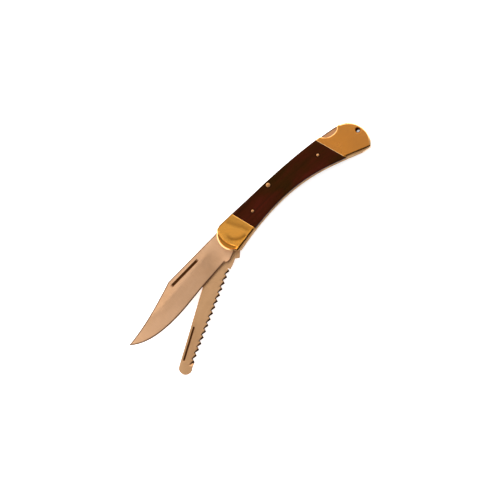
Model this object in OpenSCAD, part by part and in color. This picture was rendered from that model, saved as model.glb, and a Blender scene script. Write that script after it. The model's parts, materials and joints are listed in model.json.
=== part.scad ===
// Large folding lockback knife with two blades on one pivot: a clip-point blade and a wood saw.
// The knife lies on its pile side. +X runs to the butt, +Y to the spine and +Z to the mark side,
// the side with the nail nicks. The outlines below are drawn from the blade pivot.

/* [Handle] */
// Thickness of one scale or bolster
scale_t = 4; // [3:0.5:6]
// Thickness of one brass liner
liner_t = 1.2; // [0.8:0.1:1.6]
// How far the liners show below the wood along the belly
liner_proud = 0.3; // [0:0.1:1]
// Radius of the hole in the lanyard tube
lanyard_r = 1.5; // [1:0.1:1.6]

/* [Blades] */
// Thickness of the main blade
main_t = 3; // [2:0.1:3.6]
// Thickness of the saw blade
saw_t = 2.2; // [1.4:0.1:3]
// Gap on each side of a blade
side_gap = 0.1; // [0.05:0.05:0.2]
// Thickness of the liner between the blades
centre_t = 0.6; // [0.4:0.1:1]
// How far the saw is folded back from fully open, in degrees
saw_fold = 27.9; // [15:0.1:80]
// Number of saw teeth
tooth_count = 16; // [10:1:24]

/* [Lock] */
// Radius of the blade pivot pin
pivot_r = 2.4; // [2:0.1:3]
// Radius of the lock bar's pin
bar_pin_r = 1.6; // [1.4:0.1:2.2]
// Radial clearance of what turns on a pin
run_fit = 0.05; // [0.02:0.01:0.1]
// How far a tang holds the front of the lock bar up
bar_lift = 1.05; // [0.6:0.05:1.2]

/* [Hidden] */

$fn = 48;
cut = 60; // larger than anything it cuts

// Layers from the pile side up
z_liner = scale_t;
z_saw = z_liner + liner_t;
z_centre = z_saw + saw_t + 2 * side_gap;
z_main = z_centre + centre_t;
z_mark = z_main + main_t + 2 * side_gap;
z_scale = z_mark + liner_t;
handle_t = z_scale + scale_t;
bar_z = z_saw + side_gap;
bar_t = z_mark - side_gap - bar_z;

// Pins, from the pivot
bar_pin = [42.6, 7.3];
front_rivet = [21.6, 2.1];
rear_rivet = [82.8, -3.1];
lanyard = [115.6, -11];
butt_pin_spots = [[113, -3.6], [112.4, -21]];
rivet_r = 1;
butt_pin_r = 1.25;
tube_r = lanyard_r + 0.5;

// A cubic curve through four control points, and part of a circle
function cubic(a, b, c, d, n) = [for (i = [0:n]) let (t = i / n, u = 1 - t)
    a * u * u * u + 3 * b * u * u * t + 3 * c * u * t * t + d * t * t * t];
function arc(centre, r, from, to, n) = [for (i = [0:n]) let (a = from + (to - from) * i / n)
    centre + r * [cos(a), sin(a)]];
function turned(p, a) = [p[0] * cos(a) - p[1] * sin(a), p[0] * sin(a) + p[1] * cos(a)];

// The handle's outline: round nose, spine, butt and belly
nose_centre = [0.3, 0.5];
nose_r = 12.1;
spine = cubic([-5.2, 11.4], [35, 10.7], [70.5, 10], [104, 3], 26);
butt_top = cubic([104, 3], [111.6, 1.3], [119.5, -4], [119.5, -14], 12);
butt_low = cubic([119.5, -14], [119.6, -17], [118.6, -22], [113.6, -25.6], 10);
belly = cubic([108, -24.4], [79.6, -13.2], [57, 0.1], [-4, -11], 26);
nose = arc(nose_centre, nose_r, 242.5, 117.5, 16);

// Slanted joints between wood and bolsters, each as its top and its bottom
front_joint = [[9.7, 11], [14.1, -7.5]];
rear_joint = [[89.3, 5.7], [95.3, -17.4]];

// The whole knife is placed with its origin under the middle of its extents
tip = [-109.2, -1.6];
saw_end = [-101.2, 6.2];
saw_end_r = 4.8;
saw_low = turned(saw_end, saw_fold)[1] - saw_end_r;
middle = [(tip[0] + 119.51) / 2, (12.41 + saw_low) / 2];

module placed() translate([-middle[0], -middle[1], 0]) children();

module slab(points, z, t) translate([0, 0, z]) linear_extrude(t) polygon(points);

module pin(spot, r, z, t) translate([spot[0], spot[1], z]) cylinder(r = r, h = t);

// Handle ----------------------------------------------------------------------------------

module handle_slab(z, t) slab(concat(spine, butt_top, butt_low, belly, nose), z, t);

// Everything to one side of a slanted joint
function beyond(joint, side) = let (way = unit(joint[0] - joint[1]))
    [joint[1] - way * cut, joint[0] + way * cut, joint[0] + way * cut + [side * 3 * cut, 0],
     joint[1] - way * cut + [side * 3 * cut, 0]];
function unit(v) = v / norm(v);

// The scoop that bares the lock bar's tail; the liner's scoop is smaller by its rim
module scoop(rim, z, t) slab(concat(
    cubic([92 + rim, 8], [92.6 + rim, 5 - rim], [95 + rim, -0.6 + rim], [102, -0.8 + rim], 8),
    cubic([102, -0.8 + rim], [105, -0.9 + rim], [107.6 - rim, 0.2], [108.6 - rim, 5], 6)), z, t);

module side_plate(z, belly_cut) difference() {
    handle_slab(z, scale_t);
    slab(belly_cut, z - 1, scale_t + 2);
    pin([0, 0], pivot_r, z - 1, scale_t + 2);
    pin(bar_pin, bar_pin_r, z - 1, scale_t + 2);
    pin(front_rivet, rivet_r, z - 1, scale_t + 2);
    pin(rear_rivet, rivet_r, z - 1, scale_t + 2);
    pin(lanyard, tube_r, z - 1, scale_t + 2);
    for (spot = butt_pin_spots) pin(spot, butt_pin_r, z - 1, scale_t + 2);
}

module handle_scale(z) color([0.24, 0.09, 0.03]) difference() {
    side_plate(z, [for (p = concat([[112, -26]], belly, [[-4, -40], [112, -40]]))
        p + [0, liner_proud]]);
    slab(beyond(front_joint, -1), z - 1, scale_t + 2);
    slab(beyond(rear_joint, 1), z - 1, scale_t + 2);
}

module front_bolster(z) color([0.8, 0.56, 0.25]) difference() {
    side_plate(z, [[-20, -11.96], [-5.2, -9.95], [14.1, -7.5], [20, -7.2], [20, -20], [-20, -20]]);
    slab(beyond(front_joint, 1), z - 1, scale_t + 2);
}

module rear_bolster(z) color([0.75, 0.5, 0.22]) difference() {
    side_plate(z, [[85, -13.3], [95.4, -17.75], [113.6, -25.5], [120, -30], [85, -40]]);
    slab(beyond(rear_joint, -1), z - 1, scale_t + 2);
    scoop(0, z - 1, scale_t + 2);
}

module liner(z) color([0.78, 0.6, 0.36]) difference() {
    handle_slab(z, liner_t);
    pin([0, 0], pivot_r, z - 1, liner_t + 2);
    pin(bar_pin, bar_pin_r, z - 1, liner_t + 2);
    pin(front_rivet, rivet_r, z - 1, liner_t + 2);
    pin(rear_rivet, rivet_r, z - 1, liner_t + 2);
    pin(lanyard, tube_r, z - 1, liner_t + 2);
    for (spot = butt_pin_spots) pin(spot, butt_pin_r, z - 1, liner_t + 2);
    scoop(0.5, z - 1, liner_t + 2);
}

// Between the liners ----------------------------------------------------------------------

spacer_r = 110; // from the pivot, so that a closed blade's tip clears it
spring_t = 1;
spring_line = cubic([58.6, 5.1], [82, 2.2], [94, -2.6], [111, -5], 16);
spring_points = concat([for (p = spring_line) p + [0, spring_t / 2]],
    [for (i = [len(spring_line) - 1:-1:0]) spring_line[i] - [0, spring_t / 2]]);

module butt_spacer() color([0.78, 0.6, 0.36]) difference() {
    handle_slab(z_saw, z_mark - z_saw);
    translate([0, 0, z_saw - 1]) cylinder(r = spacer_r, h = z_mark - z_saw + 2, $fn = 240);
    slab(spring_points, bar_z, bar_t);
    slab(centre_points, z_centre, centre_t);
    pin(lanyard, tube_r, z_saw - 1, handle_t);
    for (spot = butt_pin_spots) pin(spot, butt_pin_r, z_saw - 1, handle_t);
}

module lock_spring() color([0.55, 0.5, 0.45]) slab(spring_points, bar_z, bar_t);

// The centre liner passes under the lock bar and its spring, from the pivot to the spacer
centre_points = concat(arc([0, 0], 5, 235, 60, 14), [[22, 3.9], [40, 3.2], [60, 2.4],
    [80, -1.2], [95, -5.6], [113, -8.6], [113, -17.5]],
    cubic([104, -21], [79, -11.5], [56, -0.2], [8, -7.2], 14));

module centre_liner() color([0.78, 0.6, 0.36]) difference() {
    slab(centre_points, z_centre, centre_t);
    pin([0, 0], pivot_r, z_centre - 1, centre_t + 2);
    pin(lanyard, tube_r, z_centre - 1, centre_t + 2);
}

// Lock bar: hook, arm, boss round its pin and release tail, drawn as a tang holds it up
hook_x = -3.3;
tail_x = 108.2;
bar_top = [for (p = concat(spine, butt_top)) if (p[0] > hook_x && p[0] < tail_x - 1)
    p + [0, bar_lift * max(0, bar_pin[0] - p[0]) / bar_pin[0]]];
bar_front_y = bar_top[0][1];
tang_r = 6.35;

module lock_bar() color([0.6, 0.42, 0.26]) difference() {
    union() {
        slab(concat([[hook_x, bar_front_y]], bar_top, [[tail_x, 1.3], [tail_x, -1.7],
            [101, -1.1], [96, -0.1], [90, 2.6], [82, 4.2], [74, 5], [66, 5.5], [60, 5.6],
            [50, 6.3], [36, 6.9], [26, 7.7], [12, 8.2], [5, 8.4], [1.6, 8], [0.6, tang_r + 0.08],
            [hook_x + 0.3, tang_r + 0.08], [hook_x, tang_r + 0.4]]), bar_z, bar_t);
        pin(bar_pin, bar_pin_r + 1.2, bar_z, bar_t);
    }
    pin(bar_pin, bar_pin_r + run_fit, bar_z - 1, bar_t + 2);
}

// Blades, each drawn fully open -----------------------------------------------------------

// The lock notch and the round back of a tang, from the notch's wall down to the kick
notch_y = 5.25;
function tang(wall_x, shoulder_y) = concat(
    [[wall_x, shoulder_y], [wall_x, notch_y], [1, notch_y]],
    arc([0, 0], tang_r, 80, -60, 18), [[-1.6, -6.6]]);

main_spine_y = 10;
main_points = concat(tang(-3.6, main_spine_y),
    [[-8.5, -8.1], [-14.3, -10.2], [-16.6, -10.3], [-17.9, -9.7], [-18.5, -8.6], [-45, -10.2],
     [-60, -11.6]],
    cubic([-66, -12], [-84, -12.6], [-99.6, -10.7], tip, 18),
    cubic(tip, [-92.8, -0.7], [-74, 4.6], [-57, main_spine_y], 14));

// A long slot cut into the blade's mark side for a fingernail
module nail_nick(from, to, w, z) hull()
    for (spot = [from, to]) translate([spot[0], spot[1], z]) cylinder(r = w / 2, h = 3, $fn = 24);

// Flat grind: what lies outside a wedge that runs along the blade, thinnest below the edge
module grind(top, low, t, from, length) for (side = [0, 1]) mirror([0, 0, side])
    translate([from - length, 0, 0]) rotate([90, 0, 90])
    linear_extrude(length) polygon([[top, t / 2], [low, 0.15], [low, t], [top, t]]);

module main_blade() color([0.76, 0.6, 0.44]) difference() {
    slab(main_points, z_main + side_gap, main_t);
    pin([0, 0], pivot_r + run_fit, z_main, main_t + 2);
    translate([0, 0, z_main + side_gap + main_t / 2]) grind(2.5, -12.4, main_t, -18.5, 100);
    nail_nick([-56.6, 6.2], [-31.9, 6.2], 1.8, z_main + side_gap + main_t - 0.7);
}

// Saw teeth along a straight line, each leaning towards the handle
tooth_from = [-25.6, -3.3];
tooth_to = [-97.4, 2.2];
tooth_way = (tooth_to - tooth_from) / (tooth_count - 0.5);
tooth_up = turned(unit(tooth_way), -90);
tooth_lean = 0.38; // how far a gullet lies behind its tip, in teeth
tip_drop = 0.7;
gullet_rise = 1.3;
saw_teeth = [for (i = [0:tooth_count - 1]) each [
    tooth_from + tooth_way * (i - tooth_lean) + tooth_up * gullet_rise,
    tooth_from + tooth_way * i - tooth_up * tip_drop]];

saw_spine_y = 11.15;
saw_points = concat(tang(-3.6, saw_spine_y),
    [[-9.2, -7.1], [-14.2, -8.3], [-15.8, -5.2], [-20.7, -4.9], [-24, -4.2]],
    saw_teeth, arc(saw_end, saw_end_r, 290, 92, 14));

module saw_blade() color([0.72, 0.56, 0.4]) rotate([0, 0, saw_fold]) difference() {
    slab(saw_points, z_saw + side_gap, saw_t);
    pin([0, 0], pivot_r + run_fit, z_saw, saw_t + 2);
    nail_nick([-96.4, 8.9], [-71.6, 8.9], 1.2, z_saw + side_gap + saw_t - 0.5);
}

// Pins ------------------------------------------------------------------------------------

module blade_pivot_pin() color([0.8, 0.56, 0.25]) pin([0, 0], pivot_r, 0, handle_t);
module lock_bar_pin() color([0.63, 0.4, 0.22]) pin(bar_pin, bar_pin_r, 0, handle_t);
module mark_rivet(spot) color([0.6, 0.43, 0.3]) pin(spot, rivet_r, z_mark, liner_t + scale_t);
module pile_rivet(spot) color([0.6, 0.43, 0.3]) pin(spot, rivet_r, 0, scale_t + liner_t);
module butt_pins() color([0.75, 0.5, 0.22])
    for (spot = butt_pin_spots) pin(spot, butt_pin_r, 0, handle_t);

module lanyard_tube() color([0.69, 0.47, 0.27]) difference() {
    pin(lanyard, tube_r, 0, handle_t);
    pin(lanyard, lanyard_r, -1, handle_t + 2);
}

placed() handle_scale(z_scale);  // mark_side_scale
placed() handle_scale(0);  // pile_side_scale
placed() front_bolster(z_scale);  // mark_side_front_bolster
placed() front_bolster(0);  // pile_side_front_bolster
placed() rear_bolster(z_scale);  // mark_side_rear_bolster
placed() rear_bolster(0);  // pile_side_rear_bolster
placed() liner(z_mark);  // mark_side_liner
placed() liner(z_liner);  // pile_side_liner
placed() centre_liner();
placed() main_blade();
placed() saw_blade();
placed() lock_bar();
placed() lock_spring();
placed() butt_spacer();
placed() blade_pivot_pin();
placed() lock_bar_pin();
placed() mark_rivet(front_rivet);  // mark_side_front_rivet
placed() mark_rivet(rear_rivet);  // mark_side_rear_rivet
placed() pile_rivet(front_rivet);  // pile_side_front_rivet
placed() pile_rivet(rear_rivet);  // pile_side_rear_rivet
placed() butt_pins();
placed() lanyard_tube();
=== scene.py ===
import math

import bpy
import numpy as np
from mathutils import Matrix, Vector
from mathutils.geometry import delaunay_2d_cdt
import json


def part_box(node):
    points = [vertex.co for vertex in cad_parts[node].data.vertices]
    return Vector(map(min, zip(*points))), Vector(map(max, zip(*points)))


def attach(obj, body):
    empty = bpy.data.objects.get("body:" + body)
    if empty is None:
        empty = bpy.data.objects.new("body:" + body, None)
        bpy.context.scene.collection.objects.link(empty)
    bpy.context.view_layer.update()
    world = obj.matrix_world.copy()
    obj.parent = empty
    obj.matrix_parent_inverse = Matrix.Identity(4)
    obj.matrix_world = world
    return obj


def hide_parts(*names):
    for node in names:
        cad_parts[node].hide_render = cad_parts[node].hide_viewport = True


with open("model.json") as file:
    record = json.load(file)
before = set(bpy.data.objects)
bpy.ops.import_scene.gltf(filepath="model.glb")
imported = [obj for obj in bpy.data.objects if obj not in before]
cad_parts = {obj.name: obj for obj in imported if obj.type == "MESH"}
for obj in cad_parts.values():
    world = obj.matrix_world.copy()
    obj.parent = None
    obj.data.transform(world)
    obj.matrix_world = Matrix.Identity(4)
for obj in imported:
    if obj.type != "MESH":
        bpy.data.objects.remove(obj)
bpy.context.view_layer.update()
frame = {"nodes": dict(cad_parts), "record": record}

# Outlines are in millimetres from the blade pivot, as the knife is designed. Heights are in
# millimetres above the face that the knife lies on.
MM = 0.001
JOINTS = {j["name"]: j for j in frame["record"]["behaviour"]["joints"]}
PIVOT = Vector(JOINTS["main_blade_pivot"]["pos_m"])
SAW_FOLD = -JOINTS["saw_blade_pivot"]["range_deg"][0]


def layer(node):
    """The lowest and highest point of a CAD node, in millimetres."""
    low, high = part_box(node)
    return low.z / MM, high.z / MM


def spot(node):
    """The middle of a CAD node in X and Y, in millimetres from the blade pivot."""
    low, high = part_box(node)
    return np.array(((low + high) / 2 - PIVOT).xy) / MM


THICK = layer("blade_pivot_pin")[1]


# Camera ------------------------------------------------------------------------------------

ROLL = math.radians(45.5)   # the handle points up to the right
TILT = math.radians(5)      # the camera leans a little towards the belly
VIEW_WIDTH = 357.5          # millimetres across the picture
DISTANCE = 4000
AIM = (0.4, -16.2, 16.6)


def make_camera():
    data = bpy.data.cameras.new("camera")
    data.sensor_width = 36
    data.lens = data.sensor_width * DISTANCE / VIEW_WIDTH
    data.clip_end = 20
    camera = bpy.data.objects.new("camera", data)
    bpy.context.scene.collection.objects.link(camera)
    along = Vector((1, 0, 0))
    back = Vector((0, -math.sin(TILT), math.cos(TILT)))
    across = back.cross(along)
    right = math.cos(ROLL) * along - math.sin(ROLL) * across
    up = math.sin(ROLL) * along + math.cos(ROLL) * across
    turn = Matrix((right, up, back)).transposed()
    aim = Vector((PIVOT.x, PIVOT.y, 0)) + MM * Vector(AIM)
    camera.matrix_world = Matrix.Translation(aim + back * DISTANCE * MM) @ turn.to_4x4()
    bpy.context.scene.camera = camera


make_camera()


# Outlines ----------------------------------------------------------------------------------

def cubic(a, b, c, d, n):
    """A cubic curve from a to d in n steps, steered by b and c."""
    a, b, c, d = map(np.array, (a, b, c, d))
    t = np.linspace(0, 1, n + 1)[:, None]
    u = 1 - t
    return a * u**3 + 3 * b * u * u * t + 3 * c * u * t * t + d * t**3


def arc(centre, r, start, end, n):
    """An arc between two angles in degrees, in n steps."""
    a = np.radians(np.linspace(start, end, n + 1))
    return np.array(centre) + r * np.stack([np.cos(a), np.sin(a)], 1)


def circle(centre, r, n=40):
    return arc(centre, r, 0, 360, n)[:-1]


def dense(points, step):
    """The closed outline with points added so that no side is longer than step."""
    points = np.asarray(points, float)
    out = []
    for p, q in zip(points, np.roll(points, -1, 0)):
        n = max(1, math.ceil(np.linalg.norm(q - p) / step))
        out += [p + (q - p) * k / n for k in range(n)]
    out = np.array(out)
    keep = np.linalg.norm(out - np.roll(out, 1, 0), axis=1) > 0.02
    return out[keep]


def dense_line(points, step):
    """The open line with points added so that no side is longer than step."""
    out = []
    for p, q in zip(points[:-1], points[1:]):
        n = max(1, math.ceil(np.linalg.norm(q - p) / step))
        out += [p + (q - p) * k / n for k in range(n)]
    return np.array(out + [points[-1]])


def keep_side(points, p, q):
    """The part of a closed outline on the left of the line from p to q."""
    p, q = np.array(p, float), np.array(q, float)
    way = q - p

    def side(v):
        return way[0] * (v[1] - p[1]) - way[1] * (v[0] - p[0])

    out = []
    for a, b in zip(points, np.roll(points, -1, 0)):
        sa, sb = side(a), side(b)
        if sa >= 0:
            out.append(a)
        if sa * sb < 0:
            out.append(a + (b - a) * sa / (sa - sb))
    return np.array(out)


def distance(points, chains, closed=True):
    """Distance from each point to the nearest of the chains of points."""
    best = np.full(len(points), 1e9)
    for chain in chains:
        a = chain if closed else chain[:-1]
        b = np.roll(chain, -1, 0) if closed else chain[1:]
        for i in range(0, len(points), 2000):
            p = points[i:i + 2000, None]
            ab = (b - a)[None]
            t = ((p - a) * ab).sum(2) / np.maximum((ab * ab).sum(2), 1e-12)
            near = a + np.clip(t, 0, 1)[..., None] * ab
            best[i:i + 2000] = np.minimum(best[i:i + 2000],
                                          np.linalg.norm(p - near, axis=2).min(1))
    return best


def to_line(points, line):
    """Distance from each point to one open line."""
    return distance(points, [np.array(line)], closed=False)


def inside(points, chain):
    """Whether each point lies within a closed outline."""
    x, y = points[:, :1], points[:, 1:]
    a, b = chain, np.roll(chain, -1, 0)
    crosses = (a[:, 1] > y) != (b[:, 1] > y)
    rise = np.where(b[:, 1] == a[:, 1], 1, b[:, 1] - a[:, 1])
    at = a[:, 0] + (y - a[:, 1]) * (b[:, 0] - a[:, 0]) / rise
    return (crosses & (x < at)).sum(1) % 2 == 1


def smooth(value, low, high):
    """0 below low and 1 above high, with a soft rise between them."""
    t = np.clip((value - low) / (high - low), 0, 1)
    return t * t * (3 - 2 * t)


def groove(xy, line, width):
    """1 along a line, falling to 0 at about twice the width from it."""
    return np.exp(-(to_line(xy, line) / width)**2)


SPINE = cubic((-5.2, 11.4), (35, 10.7), (70.5, 10), (104, 3), 60)
BUTT_TOP = cubic((104, 3), (111.6, 1.3), (119.5, -4), (119.5, -14), 30)
BUTT_LOW = cubic((119.5, -14), (119.6, -17), (118.6, -22), (113.6, -25.6), 20)
BUTT_END = 119.5
BELLY = cubic((108, -24.4), (79.6, -13.2), (57, 0.1), (-4, -11), 60)
NOSE_CENTRE = (0.3, 0.5)
NOSE_R = 12.1
NOSE = arc(NOSE_CENTRE, NOSE_R, 242.5, 117.5, 40)
FRONT_JOINT = ((9.7, 11), (14.1, -7.5))
REAR_JOINT = ((89.3, 5.7), (95.3, -17.4))
FRONT_CUT = ((-5.2, -9.95), (14.1, -7.5))       # the lower edges of the bolsters
REAR_CUT = ((95.4, -17.75), (113.6, -25.5))
WOOD_RISE = 0.3     # the wood stops this far above the liners along the belly
LINER_RIM = 0.5     # the liner's scoop is smaller than the bolster's by this
TANG_R = 6.35       # the round back of each blade's tang


def scoop(rim):
    """The lower side of the lock release's scoop, from front to back."""
    first = cubic((92 + rim, 8), (92.6 + rim, 5 - rim), (95 + rim, rim - 0.6),
                  (102, rim - 0.8), 24)
    last = cubic((102, rim - 0.8), (105, rim - 0.9), (107.6 - rim, 0.2), (108.6 - rim, 5), 24)
    return np.concatenate([first, last[1:]])


def handle_outline(rim=None, belly_rise=0):
    """The handle from its spine round the butt and back along the belly, with its scoop."""
    top = np.concatenate([SPINE, BUTT_TOP[1:]])
    if rim is not None:
        bowl = scoop(rim)
        bowl = bowl[bowl[:, 1] < np.interp(bowl[:, 0], top[:, 0], top[:, 1])]
        before = top[top[:, 0] < bowl[0, 0]]
        after = top[top[:, 0] > bowl[-1, 0]]
        top = np.concatenate([before, bowl, after])
    low = BELLY + (0, belly_rise)
    outline = np.concatenate([top, BUTT_LOW[1:], low, NOSE])
    return np.minimum(outline, (BUTT_END, np.inf))


# Meshes ------------------------------------------------------------------------------------

def triangles(loops, extra, creases=()):
    """Triangles that fill the first loop but not the others, with all the extra points."""
    points, edges = [], []
    for loop in loops:
        n = len(points)
        edges += [(n + i, n + (i + 1) % len(loop)) for i in range(len(loop))]
        points += [Vector(p) for p in loop]
    for line in creases:
        n = len(points)
        edges += [(n + i, n + i + 1) for i in range(len(line) - 1)]
        points += [Vector(p) for p in line]
    points += [Vector(p) for p in extra]
    found, _, faces, *_ = delaunay_2d_cdt(points, edges, [], 0, 1e-5)
    xy = np.array([tuple(p) for p in found])
    faces = np.array([f for f in faces if len(f) == 3])
    middle = xy[faces].mean(1)
    keep = inside(middle, loops[0])
    for hole in loops[1:]:
        keep &= ~inside(middle, hole)
    faces = faces[keep]
    used, faces = np.unique(faces, return_inverse=True)
    return xy[used], faces.reshape(-1, 3)


def fill_points(loops, rings, pitch):
    """Points inside the loops: in rings near their edges, and an even field further in."""
    extra = []
    for ring in rings:
        for loop in loops:
            way = np.roll(loop, -1, 0) - np.roll(loop, 1, 0)
            way /= np.linalg.norm(way, axis=1)[:, None]
            normal = np.stack([-way[:, 1], way[:, 0]], 1)
            for side in (-1, 1):
                extra.append(loop + normal * ring * side)
    extra = np.concatenate(extra) if extra else np.zeros((0, 2))
    if len(extra):
        extra = extra[inside(extra, loops[0])]
        gap = distance(extra, loops)
        near = np.abs(gap[:, None] - np.array(rings)[None]).min(1)
        extra = extra[near < 0.02]
    low, high = loops[0].min(0), loops[0].max(0)
    rows = []
    for j, y in enumerate(np.arange(low[1], high[1], pitch * 0.866)):
        x = np.arange(low[0] + (j % 2) * pitch / 2, high[0], pitch)
        rows.append(np.stack([x, np.full_like(x, y)], 1))
    field = np.concatenate(rows)
    field = field[inside(field, loops[0])]
    field = field[distance(field, loops) > (max(rings) if len(rings) else 0) + pitch * 0.4]
    for hole in loops[1:]:
        field = field[~inside(field, hole)]
        if len(extra):
            extra = extra[~inside(extra, hole)]
    return np.concatenate([extra, field])


def add_object(name, vertices, faces):
    """A new object whose vertices are in millimetres from the blade pivot, at table height."""
    mesh = bpy.data.meshes.new(name)
    foot = np.array((PIVOT.x, PIVOT.y, 0))
    mesh.from_pydata((np.array(vertices) * MM + foot).tolist(), [], faces)
    mesh.validate()
    piece = bpy.data.objects.new(name, mesh)
    bpy.context.scene.collection.objects.link(piece)
    return piece


def make_mesh(name, xy, faces, top, low, material, body, turn=0, flip=False,
              shades=None):
    """A closed solid between two height fields over the same triangles.

    shades gives each point a number from 0 to 1 under a name that its material reads.
    """
    n = len(xy)
    if turn:
        a = math.radians(turn)
        xy = xy @ np.array([[math.cos(a), math.sin(a)], [-math.sin(a), math.cos(a)]])
    upper, lower = np.column_stack([xy, top]), np.column_stack([xy, low])
    if flip:
        upper[:, 2], lower[:, 2] = THICK - top, THICK - low
    a, b, c = xy[faces[:, 0]], xy[faces[:, 1]], xy[faces[:, 2]]
    left = np.cross(b - a, c - a) < 0
    faces = np.where(left[:, None], faces[:, ::-1], faces)
    sides = {}
    for f in faces:
        for i in range(3):
            sides[(f[i], f[(i + 1) % 3])] = True
    rim = [e for e in sides if (e[1], e[0]) not in sides]
    walls = [(e[1], e[0], e[0] + n, e[1] + n) for e in rim]
    all_faces = [tuple(f) for f in faces] + [tuple(f[::-1] + n) for f in faces] + walls
    if flip:
        all_faces = [f[::-1] for f in all_faces]
    piece = add_object(name, np.concatenate([upper, lower]),
                       [[int(v) for v in f] for f in all_faces])
    for key, level in (shades or {}).items():
        shade = piece.data.attributes.new(key, "FLOAT", "POINT")
        shade.data.foreach_set("value", np.concatenate([level, 0.5 * level]))
    return finish_piece(piece, material, body)


def finish_piece(piece, material, body, angle=32):
    """Smooth shading with sharp corners, a material and a body."""
    mesh = piece.data
    mesh.materials.append(material)
    for face in mesh.polygons:
        face.use_smooth = True
    mesh.set_sharp_from_angle(angle=math.radians(angle))
    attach(piece, body)
    return piece


BEVEL_SLOPE = 0.62
NARROW_BEVELS = ((FRONT_JOINT, 0.18), (REAR_JOINT, 0.18), (SPINE[:25], 0.12), (scoop(0), 0.3))
HOLE_EDGE = 0.18    # the rounding of the holes' edges
CREASE_ROOM = 0.14  # no loose points lie closer than this to a crease


def edge_drop(gap, r):
    """How far a rounded edge of radius r falls at a distance from the outline."""
    return r - np.sqrt(np.maximum(r * r - np.maximum(r - gap, 0)**2, 0))


def on_bevel(xy, gap, width):
    """How far inside a bolster's bevel each point is, in millimetres from its inner line."""
    for line, size in NARROW_BEVELS:
        width = size + (width - size) * smooth(to_line(xy, line) - gap, 0.05, 1.6)
    return np.maximum(width - gap, 0)


def round_rings(r, n=5):
    """Distances from the outline that divide a rounded edge into equal angles."""
    return [r * (1 - math.cos(math.radians(90 * k / n))) for k in range(1, n + 1)]


def plate(name, node, outline, holes, r, material, body="handle", flip=False, step=0.6,
          pitch=1.4, relief=None, both=False, bevelled=False, rings=None, shades=None,
          creases=()):
    """A flat piece over a CAD node's layer, with rounded edges, standing for that node."""
    low, high = layer(node)
    if flip:
        low, high = THICK - high, THICK - low
    loops = [dense(outline, step)] + [dense(h, 0.4) for h in holes]
    rings = sorted(set(rings or round_rings(r))
                   | set(round_rings(HOLE_EDGE, 2) if holes else []))
    extra = fill_points(loops, rings, pitch)
    if len(creases):
        extra = extra[distance(extra, creases, closed=False) > CREASE_ROOM]
    xy, faces = triangles(loops, extra, creases)
    gap = distance(xy, loops[:1])
    top = high - (BEVEL_SLOPE * on_bevel(xy, gap, r) if bevelled else edge_drop(gap, r))
    if holes:
        top -= edge_drop(distance(xy, loops[1:]), HOLE_EDGE)
    if relief:
        top -= relief(xy, gap)
    bottom = low + edge_drop(gap, r) if both else np.full(len(xy), low)
    piece = make_mesh(name, xy, faces, top, bottom, material, body, flip=flip,
                      shades=shades(xy, gap) if shades else None)
    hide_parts(node)


def lathe(name, node, profile, material, body="handle", centre=None, n=40):
    """A turned piece: (radius, height) pairs spun round a CAD node's middle."""
    centre = spot(node) if centre is None else centre
    vertices, faces, rows = [], [], []
    for r, z in profile:
        if r == 0:
            rows.append([len(vertices)])
            vertices.append((*centre, z))
        else:
            rows.append(list(range(len(vertices), len(vertices) + n)))
            vertices += [(*p, z) for p in circle(centre, r, n)]
    for low, high in zip(rows, rows[1:]):
        for i in range(n):
            j = (i + 1) % n
            corners = [low[i % len(low)], low[j % len(low)],
                       high[j % len(high)], high[i % len(high)]]
            faces.append(list(dict.fromkeys(corners)))
    if profile[0] == profile[-1]:
        faces = [[v - rows[-1][0] if v >= rows[-1][0] else v for v in f] for f in faces]
        vertices = vertices[:rows[-1][0]]
    piece = add_object(name, vertices, faces)
    finish_piece(piece, material, body)
    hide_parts(node)


# Materials ---------------------------------------------------------------------------------

def srgb(r, g, b):
    """A colour given as it looks on screen, from 0 to 255."""
    return (*[(c / 255 / 12.92 if c <= 10 else ((c / 255 + 0.055) / 1.055)**2.4)
              for c in (r, g, b)], 1)


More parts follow.
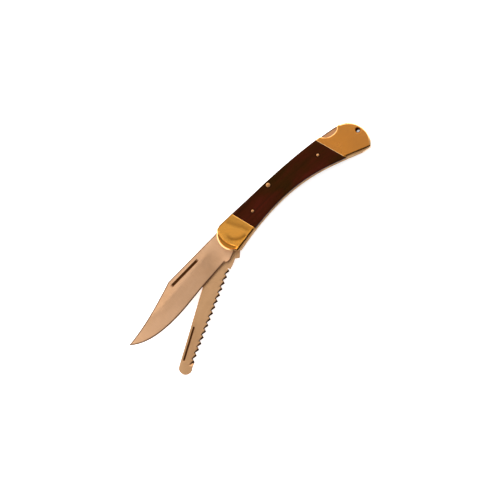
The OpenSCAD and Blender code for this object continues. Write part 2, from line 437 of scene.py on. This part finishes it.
class Nodes:
    """A short way to write one material's nodes."""

    def __init__(self, name, turn=0):
        self.material = bpy.data.materials.new(name)
        self.material.use_nodes = True
        self.tree = self.material.node_tree
        self.shader = self.tree.nodes["Principled BSDF"]
        self.turn = turn
        self.place = self.add("ShaderNodeTexCoord").outputs["Object"]

    def add(self, kind, **settings):
        node = self.tree.nodes.new(kind)
        for key, value in settings.items():
            setattr(node, key, value)
        return node

    def link(self, source, target):
        self.tree.links.new(source, target)

    def mapped(self, scale):
        """Object coordinates turned to lie along the piece, and stretched."""
        node = self.add("ShaderNodeMapping", vector_type="TEXTURE")
        node.inputs["Rotation"].default_value[2] = math.radians(self.turn)
        node.inputs["Scale"].default_value = [1 / s for s in scale]
        self.link(self.place, node.inputs["Vector"])
        return node.outputs["Vector"]

    def noise(self, scale, detail=3, roughness=0.55, distortion=0):
        node = self.add("ShaderNodeTexNoise")
        node.inputs["Scale"].default_value = 1
        node.inputs["Detail"].default_value = detail
        node.inputs["Roughness"].default_value = roughness
        node.inputs["Distortion"].default_value = distortion
        self.link(self.mapped(scale), node.inputs["Vector"])
        return node.outputs["Fac"]

    def ramp(self, value, *stops):
        node = self.add("ShaderNodeValToRGB")
        ends = node.color_ramp.elements
        while len(ends) < len(stops):
            ends.new(0.5)
        for end, (at, colour) in zip(ends, stops):
            end.position = at
            end.color = colour if len(colour) == 4 else (*colour, 1)
        self.link(value, node.inputs["Fac"])
        return node.outputs["Color"]

    def grey(self, value, low, high, start=0.3, end=0.7):
        node = self.add("ShaderNodeMapRange")
        for key, number in (("From Min", start), ("From Max", end), ("To Min", low),
                            ("To Max", high)):
            node.inputs[key].default_value = number
        self.link(value, node.inputs["Value"])
        return node.outputs["Result"]

    def mix(self, fac, a, b, mode="MIX"):
        node = self.add("ShaderNodeMix", data_type="RGBA", blend_type=mode)
        for socket, value in ((node.inputs[0], fac), (node.inputs[6], a), (node.inputs[7], b)):
            if isinstance(value, bpy.types.NodeSocket):
                self.link(value, socket)
            else:
                socket.default_value = value
        return node.outputs[2]

    def bump(self, height, strength, depth):
        node = self.add("ShaderNodeBump")
        node.inputs["Strength"].default_value = strength
        node.inputs["Distance"].default_value = depth * MM
        self.link(height, node.inputs["Height"])
        self.link(node.outputs["Normal"], self.shader.inputs["Normal"])

    def set(self, **values):
        for key, value in values.items():
            socket = self.shader.inputs[key.replace("_", " ")]
            if isinstance(value, bpy.types.NodeSocket):
                self.link(value, socket)
            else:
                socket.default_value = value


def shaded(m, colour, dark, highlight_colour=None):
    """The colour, going over to a darker colour for painted shade and to a paler colour for painted
    highlights, as the mesh's levels say.
    """
    if highlight_colour:
        painted_highlight = m.add("ShaderNodeAttribute", attribute_name="painted_highlight").outputs["Fac"]
        colour = m.mix(painted_highlight, colour, highlight_colour)
    painted_shade = m.add("ShaderNodeAttribute", attribute_name="painted_shade").outputs["Fac"]
    return m.mix(painted_shade, colour, dark)


# The third colour is the painted shade colour, and the fourth, if given, the painted highlight colour.
def brass(name, base, deep, dark, highlight_colour=None, rough=0.24, cloud=90, coat=0.3,
          tint=(1, 1, 1, 1)):
    m = Nodes(name)
    clouds = m.noise((cloud, cloud, cloud), detail=4, distortion=0.6)
    scratches = m.noise((900, 6000, 900), detail=2)
    colour = m.ramp(clouds, (0.3, deep), (0.7, base))
    m.set(Base_Color=shaded(m, colour, dark, highlight_colour), Metallic=1.0, Coat_Weight=coat,
          Coat_Roughness=0.12, Roughness=m.grey(clouds, rough + 0.05, rough - 0.03),
          Specular_Tint=tint)
    m.bump(scratches, 0.08, 0.02)
    return m.material


# The third colour is the painted shade colour.
def steel(name, base, deep, dark, rough=0.32, turn=0):
    m = Nodes(name, turn)
    clouds = m.noise((26, 60, 60), detail=3, distortion=0.4)
    lines = m.noise((5200, 260, 400), detail=3, roughness=0.6)
    tone = m.ramp(clouds, (0.3, deep), (0.7, base))
    fine = m.ramp(lines, (0.35, (0.93, 0.93, 0.93)), (0.65, (1, 1, 1)))
    m.set(Base_Color=shaded(m, m.mix(1.0, tone, fine, "MULTIPLY"), dark), Metallic=1.0,
          Roughness=m.grey(lines, rough - 0.04, rough + 0.05))
    m.bump(lines, 0.15, 0.02)
    return m.material


def rosewood(name):
    m = Nodes(name)
    bands = m.noise((16, 300, 260), detail=4, roughness=0.6, distortion=0.9)
    blotch = m.noise((30, 80, 60), detail=2, distortion=0.5)
    pores = m.noise((240, 3600, 2600), detail=2, roughness=0.7)
    grain = m.ramp(bands, (0.28, srgb(30, 12, 4)), (0.46, srgb(41, 15, 5)),
                   (0.60, srgb(47, 16, 6)), (0.76, srgb(34, 12, 4)))
    warm = m.ramp(blotch, (0.36, (0.6, 1.1, 0.5, 1)), (0.5, (0.95, 0.9, 0.8, 1)),
                  (0.66, (1.3, 0.95, 1.3, 1)))
    dark = m.ramp(pores, (0.30, (0.45, 0.42, 0.40)), (0.46, (1, 1, 1)))
    colour = m.mix(1.0, m.mix(1.0, grain, warm, "MULTIPLY"), dark, "MULTIPLY")
    # The wood goes over to near black where its mesh asks for painted shade.
    m.set(Base_Color=shaded(m, colour, srgb(12, 5, 2)), Roughness=m.grey(pores, 0.55, 0.34, 0.3, 0.5),
          Specular_IOR_Level=0.1, Specular_Tint=srgb(255, 140, 90))
    m.bump(pores, 0.3, 0.05)
    return m.material


# Painted shade colours: the bolsters and blades go over to these where their meshes ask for painted
# shade.
BRASS_SHADE_PAINT = srgb(150, 92, 4)
STEEL_SHADE_PAINT = srgb(74, 42, 18)
WOOD = rosewood("rosewood")
# The last colour of each bolster's brass is the painted highlight colour of its rounded edges.
FRONT_BRASS = brass("front_bolster_brass", srgb(246, 174, 74), srgb(240, 160, 58), BRASS_SHADE_PAINT,
                    srgb(244, 196, 136), 0.2, 60)
REAR_BRASS = brass("rear_bolster_brass", srgb(206, 133, 54), srgb(198, 125, 44), BRASS_SHADE_PAINT,
                   srgb(250, 218, 164), 0.26, 30)
LINER_BRASS = brass("liner_brass", srgb(232, 190, 134), srgb(206, 158, 104), BRASS_SHADE_PAINT,
                    rough=0.34)
PIN_BRASS = brass("pin_brass", srgb(182, 130, 82), srgb(156, 106, 64), srgb(60, 30, 10),
                  rough=0.3)
# The lanyard tube is very dark brown with a dark tint to its reflections: painted shade for the
# shadowed inside of the hole.
TUBE_PAINTED_SHADE_BRASS = brass("tube_painted_shade_brass", srgb(120, 62, 16), srgb(96, 46, 10), srgb(60, 26, 4), rough=0.7,
                   coat=0, tint=srgb(120, 62, 16))
BLADE_STEEL = steel("main_blade_steel", srgb(234, 186, 146), srgb(222, 172, 130), STEEL_SHADE_PAINT)
SAW_STEEL = steel("saw_blade_steel", srgb(196, 153, 112), srgb(180, 137, 97), STEEL_SHADE_PAINT,
                  turn=SAW_FOLD)
# The lock steel's last colour is the painted shade along the lock bar's edges.
LOCK_STEEL = steel("lock_steel", srgb(186, 136, 96), srgb(164, 116, 80), srgb(52, 34, 20), 0.4)


# Handle ------------------------------------------------------------------------------------

PIVOT_SPOT = (0, 0)
BAR_PIN = spot("lock_bar_pin")
LANYARD = spot("lanyard_tube")
PIVOT_R = 2.4
BAR_PIN_R = 1.6
RIVET_R = 1
BUTT_PINS = ((113, -3.6), (112.4, -21))
BUTT_PIN_R = 1.25
TUBE_R = 2.0
BORE_R = 1.5
SIDES = (("mark_side", False), ("pile_side", True))


FRONT_BEVEL, REAR_BEVEL = 1.0, 0.9
BEVEL_RINGS = [0.1, 0.18, 0.3, 0.45, 0.6, 0.85, 1, 1.15]

# Lines on the front bolster's face: the inner edge of the band along its nose, and two folds
NOSE_STEP = np.array([(-6.6, 9.5), (-7.7, 6.4), (-8, 3.4), (-7.7, 0.4), (-6.9, -2.4),
                      (-5.7, -5.2), (-4.4, -7.6), (-3.2, -10)])
NOSE_VALLEY = np.array([(-3.4, 5), (-3.8, 2.2), (-3.5, -1.2), (-1.4, -3.8), (1.6, -5.8),
                        (5, -6.6)])
NOSE_FOLD = np.array([(3.4, 9), (4.6, 6), (6.2, 2.6), (8.2, -1), (9.6, -5)])


def nose_shape(xy):
    """For the front bolster: how deep in the band along the nose, and the two folds."""
    x, y = xy.T
    from_nose = NOSE_R - np.hypot(x - NOSE_CENTRE[0], y - NOSE_CENTRE[1])
    ahead = x < np.interp(y, NOSE_STEP[::-1, 1], NOSE_STEP[::-1, 0])
    from_step = to_line(xy, NOSE_STEP)
    band = np.where(ahead, smooth(from_nose, 1, 1.4) * smooth(from_step, 0, 0.4), 0)
    valley = groove(xy, NOSE_VALLEY, 1.5) * smooth(6 - y, 0, 7)
    fold = groove(xy, NOSE_FOLD, 1.4)
    return band, valley, fold


def band_end(xy):
    """1 in most of the band along the nose, falling to 0 where it runs out above the belly."""
    return smooth(to_line(xy, FRONT_CUT), 1, 2.2)


def nose_relief(xy, gap):
    """How far the front bolster's face lies below its highest level."""
    band, valley, fold = nose_shape(xy)
    band = band * band_end(xy)
    shoulder = 0.13 * np.maximum(1 - to_line(xy, NOSE_STEP) / 1.6, 0)
    return (np.maximum(0.6 * band, shoulder * smooth(gap, 0.3, 1.3))
            + (0.13 * valley + 0.09 * fold) * smooth(gap, 0.2, 1.6))


def nose_creases():
    """Lines on which the front bolster's face bends, well inside its outline."""
    step = NOSE_STEP[1:-1]
    rims = [arc(NOSE_CENTRE, NOSE_R - deep, 228, 143, 60) for deep in (1, 1.2, 1.4)]
    return [dense_line(step + (shift, 0), 0.4) for shift in (0, -0.2, -0.4, 0.8, 1.6)] + rims


def edge_shade(xy, line, reach=0.55):
    """1 along a line, falling to 0 at a distance from it."""
    return smooth(reach - to_line(xy, line), 0, 0.35)


def front_shades(xy, gap):
    """Where a front bolster gets painted shade, and where it gets a painted highlight."""
    band, valley, fold = nose_shape(xy)
    x, y = xy.T
    near_joint = smooth(x - np.interp(y, NOSE_FOLD[::-1, 1], NOSE_FOLD[::-1, 0]), 0, 2)
    foot = band * np.maximum(groove(xy, NOSE_STEP - (0.3, 0), 0.8), 2 * (1 - band_end(xy)))
    # Painted shade in the band along the nose, at its foot and where it runs out, in the valley and the
    # fold, and darker towards the joint with the wood.
    painted_shade = 0.6 * band + 0.3 * foot + 0.7 * valley + 0.5 * fold + 0.25 * near_joint
    # Painted shade along the spine's edge and the belly's edge; elsewhere a painted highlight on the
    # rounded edge.
    painted_edge_shade = np.maximum(edge_shade(xy, SPINE[:25]), edge_shade(xy, FRONT_CUT, 1.2))
    painted_highlight = smooth(on_bevel(xy, gap, FRONT_BEVEL), 0, 0.2) * (1 - painted_edge_shade)
    return {"painted_shade": np.clip(np.maximum(painted_shade, painted_edge_shade), 0, 1), "painted_highlight": painted_highlight}


def rear_shades(xy, gap):
    """Where a rear bolster gets painted shade, and where it gets a painted highlight."""
    # Painted shade along the belly's edge; a painted highlight on the rounded edge, left off there and
    # half left off along the scoop's rim.
    painted_edge_shade = edge_shade(xy, REAR_CUT, 1.1)
    scoop_rim = 0.5 * edge_shade(xy, scoop(0))
    painted_highlight = smooth(on_bevel(xy, gap, REAR_BEVEL), 0, 0.2) * (1 - np.maximum(painted_edge_shade, scoop_rim))
    return {"painted_shade": painted_edge_shade, "painted_highlight": painted_highlight}


def make_bolsters():
    front = keep_side(handle_outline(), *FRONT_JOINT[::-1])
    front = keep_side(front, *FRONT_CUT)
    rear = keep_side(handle_outline(rim=0), *REAR_JOINT)
    rear = keep_side(rear, *REAR_CUT)
    for side, flip in SIDES:
        plate(f"{side}_front_bolster_body", f"{side}_front_bolster", front, [], FRONT_BEVEL,
              FRONT_BRASS, flip=flip, step=0.35, pitch=0.5,
              relief=nose_relief, bevelled=True, rings=BEVEL_RINGS, shades=front_shades,
              creases=nose_creases())
        plate(f"{side}_rear_bolster_body", f"{side}_rear_bolster", rear,
              [circle(LANYARD, TUBE_R + 0.02)], REAR_BEVEL, REAR_BRASS,
              flip=flip, bevelled=True, rings=BEVEL_RINGS, shades=rear_shades)


def make_scales():
    wood = keep_side(handle_outline(belly_rise=WOOD_RISE), *FRONT_JOINT)
    wood = keep_side(wood, *REAR_JOINT[::-1])
    for side, flip in SIDES:
        holes = [circle(BAR_PIN, BAR_PIN_R + 0.03)]
        holes += [circle(spot(f"{side}_{end}_rivet"), RIVET_R + 0.03)
                  for end in ("front", "rear")]
        # The wood gets painted shade round the pin holes.
        plate(f"{side}_scale_wood", f"{side}_scale", wood, holes, 1.0, WOOD,
              flip=flip, shades=lambda xy, gap: {"painted_shade": smooth(0.9 - distance(xy, holes),
                                                                   0, 0.7)})


def make_liners():
    sheet = handle_outline(rim=LINER_RIM)
    for side, flip in SIDES:
        plate(f"{side}_liner_sheet", f"{side}_liner", sheet, [circle(LANYARD, TUBE_R + 0.02)],
              0.12, LINER_BRASS, flip=flip, both=True, pitch=4)


PIN_DOME = 0.12     # how far a peened pin head stands above its rim
HIDDEN_DEPTH = 0.6  # the pins ground flush with the brass end this far below its face
TUBE_SINK = 0.25    # the lanyard tube ends this far below the bolster's face


def dome(r, face, into):
    """A peened head from its rim to its middle. into is the way into the knife: 1 or -1."""
    return [(r, face + into * (PIN_DOME + 0.12)), (r - 0.08, face + into * PIN_DOME),
            (r * 0.6, face + into * PIN_DOME * 0.3), (0, face)]


def make_pins():
    for node, spots, r in (("blade_pivot_pin", [PIVOT_SPOT], PIVOT_R),
                           ("butt_pins", BUTT_PINS, BUTT_PIN_R)):
        low, high = HIDDEN_DEPTH, THICK - HIDDEN_DEPTH
        shank = [(0, low), (r - 0.2, low), (r, low + 0.2), (r, high - 0.2), (r - 0.2, high),
                 (0, high)]
        for i, centre in enumerate(spots):
            lathe(f"{node}_shank_{i + 1}", node, shank, REAR_BRASS,
                  centre=centre)
    lathe("lock_bar_pin_peened", "lock_bar_pin",
          dome(BAR_PIN_R, 0, 1)[::-1] + dome(BAR_PIN_R, THICK, -1), PIN_BRASS)
    for end in ("front", "rear"):
        low, high = layer(f"mark_side_{end}_rivet")
        rivet = [(0, low), (RIVET_R - 0.15, low + 0.02), (RIVET_R, low + 0.15)]
        rivet += dome(RIVET_R, high, -1)
        lathe(f"mark_side_{end}_rivet_peened", f"mark_side_{end}_rivet", rivet, PIN_BRASS)
        lathe(f"pile_side_{end}_rivet_peened", f"pile_side_{end}_rivet",
              [(r, THICK - z) for r, z in rivet[::-1]], PIN_BRASS)
    rim = [(BORE_R, TUBE_SINK + 0.3), (BORE_R + 0.12, TUBE_SINK + 0.08),
           (BORE_R + 0.25, TUBE_SINK), (TUBE_R - 0.1, TUBE_SINK + 0.05),
           (TUBE_R, TUBE_SINK + 0.25)]
    tube = rim + [(r, THICK - z) for r, z in rim[::-1]]
    lathe("lanyard_tube_flared", "lanyard_tube", tube + tube[:1], TUBE_PAINTED_SHADE_BRASS)


make_bolsters()
make_scales()
make_liners()
make_pins()


# Lock bar ----------------------------------------------------------------------------------

def make_lock_bar():
    hook_x, tail_x, tail_top = -3.3, 108.2, 1.3
    lift, top_y = 1.05, 12.38   # how far a tang holds up the front, and the highest point
    pin_x = 42.6
    top = np.concatenate([SPINE, BUTT_TOP[1:]])
    top = top[(top[:, 0] > hook_x) & (top[:, 0] < tail_x - 1)]
    rise = lift * np.maximum(0, pin_x - top[:, 0]) / pin_x
    top = np.minimum(top + np.column_stack([0 * rise, rise]), (BUTT_END, top_y))
    under = [(tail_x, tail_top), (tail_x, -1.7), (101, -1.1), (96, -0.1), (90, 2.6), (82, 4.2), (74, 5),
             (66, 5.5), (60, 5.6), (50, 6.3), (46, 6.5), (44.6, 5), (42.6, 4.3), (40.6, 5),
             (39.2, 6.7), (36, 6.9), (26, 7.7), (12, 8.2), (5, 8.4), (1.6, 8),
             (0.6, TANG_R + 0.08), (hook_x + 0.3, TANG_R + 0.08), (hook_x, TANG_R + 0.4),
             (hook_x, top[0, 1])]
    outline = np.concatenate([top, under])
    hole = circle(BAR_PIN, BAR_PIN_R + 0.05)
    # The lock bar darkens towards its edges: painted shade.
    plate("lock_bar_ground", "lock_bar", outline, [hole], 0.25, LOCK_STEEL,
          body="lock_bar", both=True, pitch=3, rings=[0.1, 0.25, 0.7, 0.9],
          shades=lambda xy, gap: {"painted_shade": 1 - smooth(gap, 0.5, 1)})


make_lock_bar()


# Blades ------------------------------------------------------------------------------------

NOTCH = 5.25        # the height of the lock notch's floor
BORE = circle(PIVOT_SPOT, PIVOT_R + 0.05)


def tang(wall_x, shoulder_y):
    """The lock notch and the round back of a tang."""
    front = np.array([(wall_x, shoulder_y), (wall_x, NOTCH), (1, NOTCH)])
    return np.concatenate([front, arc(PIVOT_SPOT, TANG_R, 80, -60, 24), [(-1.6, -6.6)]])


def nick_depth(xy, start, end, width):
    """A fingernail groove, 1 where it is deepest: steep walls, and eased out at its ends."""
    x, y = xy.T
    across = (y - start[1]) / (width / 2)
    ends = np.clip(np.minimum(x - start[0], end[0] - x) / (width * 0.4), 0, 1)
    shape = np.where(across > 0, 1 - smooth(across, 0.8, 1), 1 - smooth(-across, 0.7, 1))
    return shape * np.sqrt(ends) * (np.abs(across) < 1)


def nick_points(start, end, width):
    """Rows of points that hold the groove's cross-section."""
    x = np.arange(start[0] - 0.3, end[0] + 0.31, 0.6)
    rows = [-1.12, -1, -0.85, -0.7, -0.3, 0.1, 0.5, 0.8, 0.9, 1, 1.12]
    return np.concatenate([np.stack([x, np.full_like(x, start[1] + r * width / 2)], 1)
                           for r in rows])


def nick_gap(xy, start, end, width):
    """Distance from each point to the groove's rectangle."""
    x, y = xy.T
    dx = np.maximum(np.maximum(start[0] - x, x - end[0]), 0)
    dy = np.maximum(np.abs(y - start[1]) - width / 2, 0)
    return np.hypot(dx, dy)


MAIN_TIP = (-109.2, -1.6)
MAIN_SPINE = 10
MAIN_NICK = ((-57.5, 6.2), (-31, 6.2), 2.1)     # its two ends and its width
MAIN_NICK_DEPTH = 1.1


def make_main_blade():
    low, high = layer("main_blade")
    middle, half = (low + high) / 2, (high - low) / 2
    kick = [(-8.5, -8.1), (-14.3, -10.2), (-15.6, -10.35), (-16.6, -10.3), (-17.9, -9.7),
            (-18.5, -8.6)]
    edge = np.concatenate([[(-18.5, -8.6), (-45, -10.2), (-60, -11.6)],
                           cubic((-66, -12), (-84, -12.6), (-99.6, -10.7), MAIN_TIP, 40)])
    clip = cubic(MAIN_TIP, (-92.8, -0.7), (-74, 4.6), (-57, MAIN_SPINE), 30)
    outline = np.concatenate([tang(-3.6, MAIN_SPINE), kick, edge[1:], clip[1:]])
    loops = [dense(outline, 0.6), dense(BORE, 0.4)]
    extra = fill_points(loops, [0.12, 0.3, 0.55, 0.8, 1.1], 1.3)
    extra = extra[nick_gap(extra, *MAIN_NICK) > 0.5]
    xy, faces = triangles(loops, np.concatenate([extra, nick_points(*MAIN_NICK)]))
    x, y = xy.T
    from_edge, from_kick = to_line(xy, edge), to_line(xy, kick)
    back = to_line(xy, np.concatenate([clip, tang(-3.6, MAIN_SPINE)]))
    # Half of the blade's thickness: a flat grind down to a thin edge, with a steeper bevel along
    # the edge itself. The grind runs out towards the tang along a slightly slanted line.
    apex_t, edge_t, grind_height, run_out = 0.03, 0.2, 13, 13
    ground = np.minimum(half, edge_t + from_edge * (half - edge_t) / grind_height)
    ground = np.minimum(ground, apex_t + from_edge * 0.3)
    plunge = np.clip((x - (-27.5 + 0.12 * (3 - y))) / run_out, 0, 1)
    thick = ground + (half - ground) * plunge
    thick = np.maximum(thick - np.maximum(0.1 - back, 0), apex_t)
    slot = nick_depth(xy, *MAIN_NICK)
    # Painted shade in the nail nick, along the cutting edge, the back and the kick; the blade is also
    # made darker towards the handle.
    shade = 0.14 * smooth(x, -85, -55) + 0.1 * smooth(x, -42, -24)
    painted_shade = np.max([slot, shade, 0.85 * smooth(1.1 - from_edge, 0, 0.5),
                      0.8 * smooth(0.9 - back, 0, 0.4), 0.9 * smooth(0.7 - from_kick, 0, 0.4)],
                     axis=0)
    piece = make_mesh("main_blade_ground", xy, faces, middle + thick - MAIN_NICK_DEPTH * slot,
                      middle - thick, BLADE_STEEL, "main_blade",
                      shades={"painted_shade": painted_shade})
    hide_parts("main_blade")


SAW_SPINE = 11.15
SAW_NICK = ((-97, 8.9), (-71, 8.9), 1.5)
SAW_NICK_DEPTH = 0.7
TOOTH_COUNT = 16
TOOTH_LEAN = 0.38       # how far each tooth leans towards the handle, as a share of the pitch
TIP_DROP, GULLET_RISE = 0.7, 1.3
FACET_WIDTH, FACET_SLOPE, FACET_DEEPEST = 1.5, 0.7, 1.4


def make_saw_blade():
    low, high = layer("saw_blade")
    middle, half = (low + high) / 2, (high - low) / 2
    first, last = np.array((-25.6, -3.3)), np.array((-97.4, 2.2))
    way = (last - first) / (TOOTH_COUNT - 0.5)
    up = np.array((way[1], -way[0])) / np.linalg.norm(way)
    tips = [first + way * i - up * TIP_DROP for i in range(TOOTH_COUNT)]
    gullets = [first + way * (i - TOOTH_LEAN) + up * GULLET_RISE
               for i in range(TOOTH_COUNT + 1)]
    teeth = [p for pair in zip(gullets, tips) for p in pair]
    end = arc((-101.2, 6.2), 4.79, 290, 92, 14)
    kick = [(-9.2, -7.1), (-14.2, -8.3), (-15.8, -5.2), (-20.7, -4.9), (-24, -4.2)]
    outline = np.concatenate([tang(-3.6, SAW_SPINE), kick, teeth, end])
    loops = [dense(outline, 0.5), dense(BORE, 0.4)]
    flank = gullets[1] - tips[0]
    length = np.linalg.norm(flank)
    flank = flank / length
    inward = np.array((-flank[1], flank[0]))
    inward = inward if inward @ up > 0 else -inward
    reach = length + 0.9

    def facet_width(s):
        """How wide the filed facet is at a distance from its tooth's tip."""
        return FACET_WIDTH * np.sqrt(np.clip(1 - s / reach, 0, 1))

    s = np.linspace(0.1, length + 0.85, 12)
    facets = np.concatenate([tip + np.outer(s, flank) + np.outer(facet_width(s) * t, inward)
                             for tip in tips for t in (0.3, 0.65, 1, 1.25)])
    facets = facets[inside(facets, loops[0])]
    facets = facets[distance(facets, loops) > 0.12]
    extra = fill_points(loops, [0.12], 1.3)
    extra = extra[nick_gap(extra, *SAW_NICK) > 0.45]
    extra = extra[to_line(extra, facets) > 0.25]
    xy, faces = triangles(loops, np.concatenate([extra, facets, nick_points(*SAW_NICK)]))
    back = distance(xy, [loops[0]])
    thick = half - np.maximum(0.1 - back, 0)
    # Painted shade in the nail nick and on the filed facets of the teeth.
    painted_shade = nick_depth(xy, *SAW_NICK)
    top = middle + thick - SAW_NICK_DEPTH * painted_shade
    bottom = middle - thick
    for tip in tips:
        along, across = (xy - tip) @ flank, (xy - tip) @ inward
        there = (along > -0.5) & (along < reach) & (across > -0.6)
        cut = np.where(there, np.maximum(facet_width(along) - across, 0), 0)
        top -= FACET_SLOPE * np.minimum(cut, FACET_DEEPEST)
        painted_shade = np.maximum(painted_shade, smooth(cut, 0.05, 0.3))
    top = np.maximum(top, bottom + 0.3)
    piece = make_mesh("saw_blade_toothed", xy, faces, top, bottom, SAW_STEEL,
                      "saw_blade", turn=SAW_FOLD,
                      shades={"painted_shade": painted_shade})
    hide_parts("saw_blade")


make_main_blade()
make_saw_blade()


# Carried-over CAD pieces -------------------------------------------------------------------

def dress(node, material):
    """Gives a CAD node its material."""
    piece = frame["nodes"][node]
    piece.data.materials.clear()
    piece.data.materials.append(material)


dress("centre_liner", LINER_BRASS)
dress("butt_spacer", LINER_BRASS)
dress("lock_spring", LOCK_STEEL)


# Floor and light ---------------------------------------------------------------------------

def make_floor():
    m = Nodes("floor_paper")
    m.set(Base_Color=(0.9, 0.9, 0.9, 1), Roughness=0.9, Specular_IOR_Level=0.1,
          Emission_Color=(1, 1, 1, 1), Emission_Strength=0.55)
    half = 3            # metres
    mesh = bpy.data.meshes.new("floor")
    mesh.from_pydata([(-half, -half, 0), (half, -half, 0), (half, half, 0), (-half, half, 0)],
                     [], [(0, 1, 2, 3)])
    mesh.materials.append(m.material)
    floor = bpy.data.objects.new("floor", mesh)
    floor.location.z = -0.0001
    bpy.context.scene.collection.objects.link(floor)


LIGHT_DISTANCE = 1.3


def softbox(name, towards, elevation, size, power):
    """A square area light that faces the knife. towards is its direction on the floor."""
    data = bpy.data.lights.new(name, "AREA")
    data.size = size
    data.energy = power
    light = bpy.data.objects.new(name, data)
    a, e = math.radians(towards), math.radians(elevation)
    light.location = LIGHT_DISTANCE * Vector((math.cos(a) * math.cos(e),
                                              math.sin(a) * math.cos(e), math.sin(e)))
    light.rotation_euler = light.location.to_track_quat("Z", "Y").to_euler()
    bpy.context.scene.collection.objects.link(light)


SKY = ((0.02, 0.05), (0.5, 0.3), (0.95, 0.61))     # how bright it is, up to its zenith


def make_world():
    """A soft sky: brightest above, and dark low down on the belly's side."""
    world = bpy.data.worlds.new("studio")
    bpy.context.scene.world = world
    world.use_nodes = True
    tree = world.node_tree
    sky = tree.nodes["Background"]
    place = tree.nodes.new("ShaderNodeTexCoord")
    dot = tree.nodes.new("ShaderNodeVectorMath")
    dot.operation = "DOT_PRODUCT"
    dot.inputs[1].default_value = (0, 0.45, 0.9)
    ramp = tree.nodes.new("ShaderNodeValToRGB")
    ends = ramp.color_ramp.elements
    ends.new(0.5)
    for end, (at, level) in zip(ends, SKY):
        end.position = at
        end.color = (level, level, level, 1)
    tree.links.new(place.outputs["Generated"], dot.inputs[0])
    tree.links.new(dot.outputs["Value"], ramp.inputs["Fac"])
    tree.links.new(ramp.outputs["Color"], sky.inputs["Color"])


make_floor()
make_world()
for box in (("back_box", 90, 42, 1.5, 17), ("left_box", 168, 40, 1.7, 14),
            ("right_box", 12, 40, 1.5, 17)):
    softbox(*box)
bpy.context.scene.view_settings.view_transform = "Standard"
